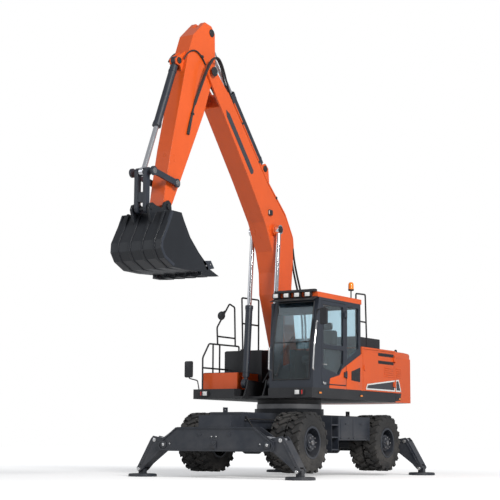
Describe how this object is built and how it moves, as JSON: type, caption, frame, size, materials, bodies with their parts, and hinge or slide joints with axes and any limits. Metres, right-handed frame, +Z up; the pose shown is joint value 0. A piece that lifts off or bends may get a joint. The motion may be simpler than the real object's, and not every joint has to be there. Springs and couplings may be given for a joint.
{
  "type": "wheeled excavator",
  "caption": "Wheeled excavator on four folding outriggers: slewing upper body with cab, one-piece boom, arm and toothed bucket, steered front axle and twin tyres.",
  "frame": {"origin": "on the floor, below the middle of the overall box", "axes": "+X to the front, +Y to the cab side, +Z up"},
  "size_m": [7.5998, 3.72, 7.78],
  "materials": {
    "bare_steel": "satin",
    "body_dark": "satin charcoal",
    "body_orange": "gloss orange",
    "cab_glass": "clear",
    "cab_trim": "fine grain",
    "chassis_paint": "satin dark blue-grey",
    "lamp_glass": "clear lens",
    "rod_chrome": "polished",
    "tool_black": "satin black",
    "tyre": "semi matte tread rubber"
  },
  "bodies": {
    "chassis": {"chassis_frame": "chassis_paint", "slew_ring": "bare_steel", "axle_front": "chassis_paint", "axle_rear": "chassis_paint", "gearbox": "chassis_paint", "toolboxes_and_steps": "chassis_paint", "outrigger_beam_front": "chassis_paint", "outrigger_beam_rear": "chassis_paint"},
    "house": {"deck": "body_dark", "counterweight": "body_orange", "engine_bay": "body_orange", "engine": "bare_steel", "tank": "body_orange", "toolbox_front": "body_orange", "cab_shell": "body_dark", "cab_roof": "body_dark", "cab_glass": "cab_glass", "seat": "cab_trim", "cab_controls": "cab_trim"},
    "cab_door": {"cab_door": "body_dark", "cab_door_glass": "cab_glass"},
    "hood": {"hood": "body_dark"},
    "side_door_left": {"side_door_left": "body_orange"},
    "side_door_right": {"side_door_right": "body_orange"},
    "boom": {"boom": "body_orange"},
    "boom_barrels": {"boom_cylinder_barrels": "body_orange"},
    "boom_rods": {"boom_cylinder_rods": "rod_chrome"},
    "arm": {"arm": "body_orange"},
    "arm_barrel": {"arm_cylinder_barrel": "body_orange"},
    "arm_rod": {"arm_cylinder_rod": "rod_chrome"},
    "bucket": {"bucket": "tool_black"},
    "bucket_barrel": {"bucket_cylinder_barrel": "body_orange"},
    "bucket_rod": {"bucket_cylinder_rod": "rod_chrome"},
    "guide_links": {"guide_links": "tool_black"},
    "h_link": {"h_link": "tool_black"},
    "knuckle_left": {"knuckle_left": "chassis_paint"},
    "knuckle_right": {"knuckle_right": "chassis_paint"},
    "wheel_front_left": {"rims_front_left": "chassis_paint", "tyres_front_left": "tyre"},
    "leg_front_left": {"leg_front_left": "chassis_paint"},
    "leg_barrel_front_left": {"leg_barrel_front_left": "chassis_paint"},
    "leg_rod_front_left": {"leg_rod_front_left": "rod_chrome"},
    "wheel_front_right": {"rims_front_right": "chassis_paint", "tyres_front_right": "tyre"},
    "leg_front_right": {"leg_front_right": "chassis_paint"},
    "leg_barrel_front_right": {"leg_barrel_front_right": "chassis_paint"},
    "leg_rod_front_right": {"leg_rod_front_right": "rod_chrome"},
    "wheel_rear_left": {"rims_rear_left": "chassis_paint", "tyres_rear_left": "tyre"},
    "leg_rear_left": {"leg_rear_left": "chassis_paint"},
    "leg_barrel_rear_left": {"leg_barrel_rear_left": "chassis_paint"},
    "leg_rod_rear_left": {"leg_rod_rear_left": "rod_chrome"},
    "wheel_rear_right": {"rims_rear_right": "chassis_paint", "tyres_rear_right": "tyre"},
    "leg_rear_right": {"leg_rear_right": "chassis_paint"},
    "leg_barrel_rear_right": {"leg_barrel_rear_right": "chassis_paint"},
    "leg_rod_rear_right": {"leg_rod_rear_right": "rod_chrome"}
  },
  "joints": [
    {"name": "slew", "type": "hinge", "parent": "chassis", "child": "house", "pos_m": [-0.95, 0, 1.215], "axis": [0, 0, 1], "continuous": true},
    {"name": "boom_lift", "type": "hinge", "parent": "house", "child": "boom", "pos_m": [-0.8, 0, 1.95], "axis": [0, -1, 0], "range_deg": [-89, 2]},
    {"name": "arm_fold", "type": "hinge", "parent": "boom", "child": "arm", "pos_m": [1.97, 0, 6.93], "axis": [0, 1, 0], "range_deg": [-96, 18]},
    {"name": "bucket_curl", "type": "hinge", "parent": "arm", "child": "bucket", "pos_m": [3.18, 0, 4.38], "axis": [0, 1, 0], "range_deg": [-88, 75]},
    {"name": "boom_cylinder_swing", "type": "hinge", "parent": "house", "child": "boom_barrels", "pos_m": [0.12, 0, 1.65], "axis": [0, -1, 0], "range_deg": [-108.1, 3.41]},
    {"name": "boom_cylinder_stroke", "type": "slide", "parent": "boom_barrels", "child": "boom_rods", "axis": [-0.0783, 0, 0.9969], "range_m": [-1.1874, 0.0365]},
    {"name": "arm_cylinder_swing", "type": "hinge", "parent": "boom", "child": "arm_barrel", "pos_m": [0.05, 0, 5.58], "axis": [0, 1, 0], "range_deg": [-3.42, 1.45]},
    {"name": "arm_cylinder_stroke", "type": "slide", "parent": "arm_barrel", "child": "arm_rod", "axis": [0.6741, 0, 0.7386], "range_m": [-1.0647, 0.2078]},
    {"name": "bucket_cylinder_swing", "type": "hinge", "parent": "arm", "child": "bucket_barrel", "pos_m": [2.79, 0, 6.95], "axis": [0, 1, 0], "range_deg": [-2.43, 2.22]},
    {"name": "bucket_cylinder_stroke", "type": "slide", "parent": "bucket_barrel", "child": "bucket_rod", "axis": [0.3792, 0, -0.9253], "range_m": [-0.6164, 0.5268]},
    {"name": "guide_link_swing", "type": "hinge", "parent": "arm", "child": "guide_links", "pos_m": [3, 0, 4.8], "axis": [0, 1, 0], "range_deg": [-60.88, 52.04]},
    {"name": "h_link_swing", "type": "hinge", "parent": "bucket", "child": "h_link", "pos_m": [3.625, 0, 4.3], "axis": [0, 1, 0], "range_deg": [-65.5, 76.68]},
    {"name": "steer_left", "type": "hinge", "parent": "chassis", "child": "knuckle_left", "pos_m": [0.32, 0.59, 0.6075], "axis": [0, 0, 1], "range_deg": [-28, 28]},
    {"name": "steer_right", "type": "hinge", "parent": "chassis", "child": "knuckle_right", "pos_m": [0.32, -0.59, 0.6075], "axis": [0, 0, 1], "range_deg": [-29, 29]},
    {"name": "wheel_front_left_spin", "type": "hinge", "parent": "knuckle_left", "child": "wheel_front_left", "pos_m": [0.32, 1, 0.6075], "axis": [0, 1, 0], "continuous": true},
    {"name": "wheel_front_right_spin", "type": "hinge", "parent": "knuckle_right", "child": "wheel_front_right", "pos_m": [0.32, -1, 0.6075], "axis": [0, 1, 0], "continuous": true},
    {"name": "wheel_rear_left_spin", "type": "hinge", "parent": "chassis", "child": "wheel_rear_left", "pos_m": [-2.53, 1, 0.6075], "axis": [0, 1, 0], "continuous": true},
    {"name": "wheel_rear_right_spin", "type": "hinge", "parent": "chassis", "child": "wheel_rear_right", "pos_m": [-2.53, -1, 0.6075], "axis": [0, 1, 0], "continuous": true},
    {"name": "leg_front_left_fold", "type": "hinge", "parent": "chassis", "child": "leg_front_left", "pos_m": [1.38, 1.06, 0.56], "axis": [1, 0, 0], "range_deg": [-5, 85]},
    {"name": "leg_cylinder_front_left_swing", "type": "hinge", "parent": "chassis", "child": "leg_barrel_front_left", "pos_m": [1.38, 0.3, 0.74], "axis": [1, 0, 0], "range_deg": [-1.74, 13.56]},
    {"name": "leg_cylinder_front_left_stroke", "type": "slide", "parent": "leg_barrel_front_left", "child": "leg_rod_front_left", "axis": [0, 0.9949, -0.1005], "range_m": [-0.2864, 0.0263]},
    {"name": "leg_front_right_fold", "type": "hinge", "parent": "chassis", "child": "leg_front_right", "pos_m": [1.38, -1.06, 0.56], "axis": [-1, 0, 0], "range_deg": [-5, 85]},
    {"name": "leg_cylinder_front_right_swing", "type": "hinge", "parent": "chassis", "child": "leg_barrel_front_right", "pos_m": [1.38, -0.3, 0.74], "axis": [-1, 0, 0], "range_deg": [-1.74, 13.56]},
    {"name": "leg_cylinder_front_right_stroke", "type": "slide", "parent": "leg_barrel_front_right", "child": "leg_rod_front_right", "axis": [0, -0.9949, -0.1005], "range_m": [-0.2864, 0.0263]},
    {"name": "leg_rear_left_fold", "type": "hinge", "parent": "chassis", "child": "leg_rear_left", "pos_m": [-3.22, 1.06, 0.56], "axis": [1, 0, 0], "range_deg": [-5, 85]},
    {"name": "leg_cylinder_rear_left_swing", "type": "hinge", "parent": "chassis", "child": "leg_barrel_rear_left", "pos_m": [-3.22, 0.3, 0.74], "axis": [1, 0, 0], "range_deg": [-1.74, 13.56]},
    {"name": "leg_cylinder_rear_left_stroke", "type": "slide", "parent": "leg_barrel_rear_left", "child": "leg_rod_rear_left", "axis": [0, 0.9949, -0.1005], "range_m": [-0.2864, 0.0263]},
    {"name": "leg_rear_right_fold", "type": "hinge", "parent": "chassis", "child": "leg_rear_right", "pos_m": [-3.22, -1.06, 0.56], "axis": [-1, 0, 0], "range_deg": [-5, 85]},
    {"name": "leg_cylinder_rear_right_swing", "type": "hinge", "parent": "chassis", "child": "leg_barrel_rear_right", "pos_m": [-3.22, -0.3, 0.74], "axis": [-1, 0, 0], "range_deg": [-1.74, 13.56]},
    {"name": "leg_cylinder_rear_right_stroke", "type": "slide", "parent": "leg_barrel_rear_right", "child": "leg_rod_rear_right", "axis": [0, -0.9949, -0.1005], "range_m": [-0.2864, 0.0263]},
    {"name": "cab_door_swing", "type": "hinge", "parent": "house", "child": "cab_door", "pos_m": [-0.842, 1.275, 2], "axis": [0, 0, 1], "range_deg": [0, 165]},
    {"name": "side_door_left_swing", "type": "hinge", "parent": "house", "child": "side_door_left", "pos_m": [-2.815, 1.27, 2], "axis": [0, 0, 1], "range_deg": [0, 100]},
    {"name": "side_door_right_swing", "type": "hinge", "parent": "house", "child": "side_door_right", "pos_m": [-2.815, -1.27, 2], "axis": [0, 0, -1], "range_deg": [0, 100]},
    {"name": "hood_lift", "type": "hinge", "parent": "house", "child": "hood", "pos_m": [-2.26, 0, 2.39], "axis": [0, 1, 0], "range_deg": [0, 60]}
  ],
  "couplings": [
    {"joint": "boom_cylinder_swing", "follows": "boom_lift", "ratio": 1.2034},
    {"joint": "boom_cylinder_stroke", "follows": "boom_lift", "m_per_rad": 0.758},
    {"joint": "arm_cylinder_swing", "follows": "arm_fold", "ratio": 0.0252},
    {"joint": "arm_cylinder_stroke", "follows": "arm_fold", "m_per_rad": 0.6295},
    {"joint": "bucket_cylinder_swing", "follows": "bucket_curl", "ratio": 0.0162},
    {"joint": "bucket_cylinder_stroke", "follows": "bucket_curl", "m_per_rad": 0.3948},
    {"joint": "guide_link_swing", "follows": "bucket_curl", "ratio": 0.6805},
    {"joint": "h_link_swing", "follows": "bucket_curl", "ratio": -0.86},
    {"joint": "steer_right", "follows": "steer_left", "ratio": 1},
    {"joint": "leg_cylinder_front_left_swing", "follows": "leg_front_left_fold", "ratio": 0.1478},
    {"joint": "leg_cylinder_front_left_stroke", "follows": "leg_front_left_fold", "m_per_rad": -0.1863},
    {"joint": "leg_cylinder_front_right_swing", "follows": "leg_front_right_fold", "ratio": 0.1478},
    {"joint": "leg_cylinder_front_right_stroke", "follows": "leg_front_right_fold", "m_per_rad": -0.1863},
    {"joint": "leg_cylinder_rear_left_swing", "follows": "leg_rear_left_fold", "ratio": 0.1478},
    {"joint": "leg_cylinder_rear_left_stroke", "follows": "leg_rear_left_fold", "m_per_rad": -0.1863},
    {"joint": "leg_cylinder_rear_right_swing", "follows": "leg_rear_right_fold", "ratio": 0.1478},
    {"joint": "leg_cylinder_rear_right_stroke", "follows": "leg_rear_right_fold", "m_per_rad": -0.1863}
  ]
}
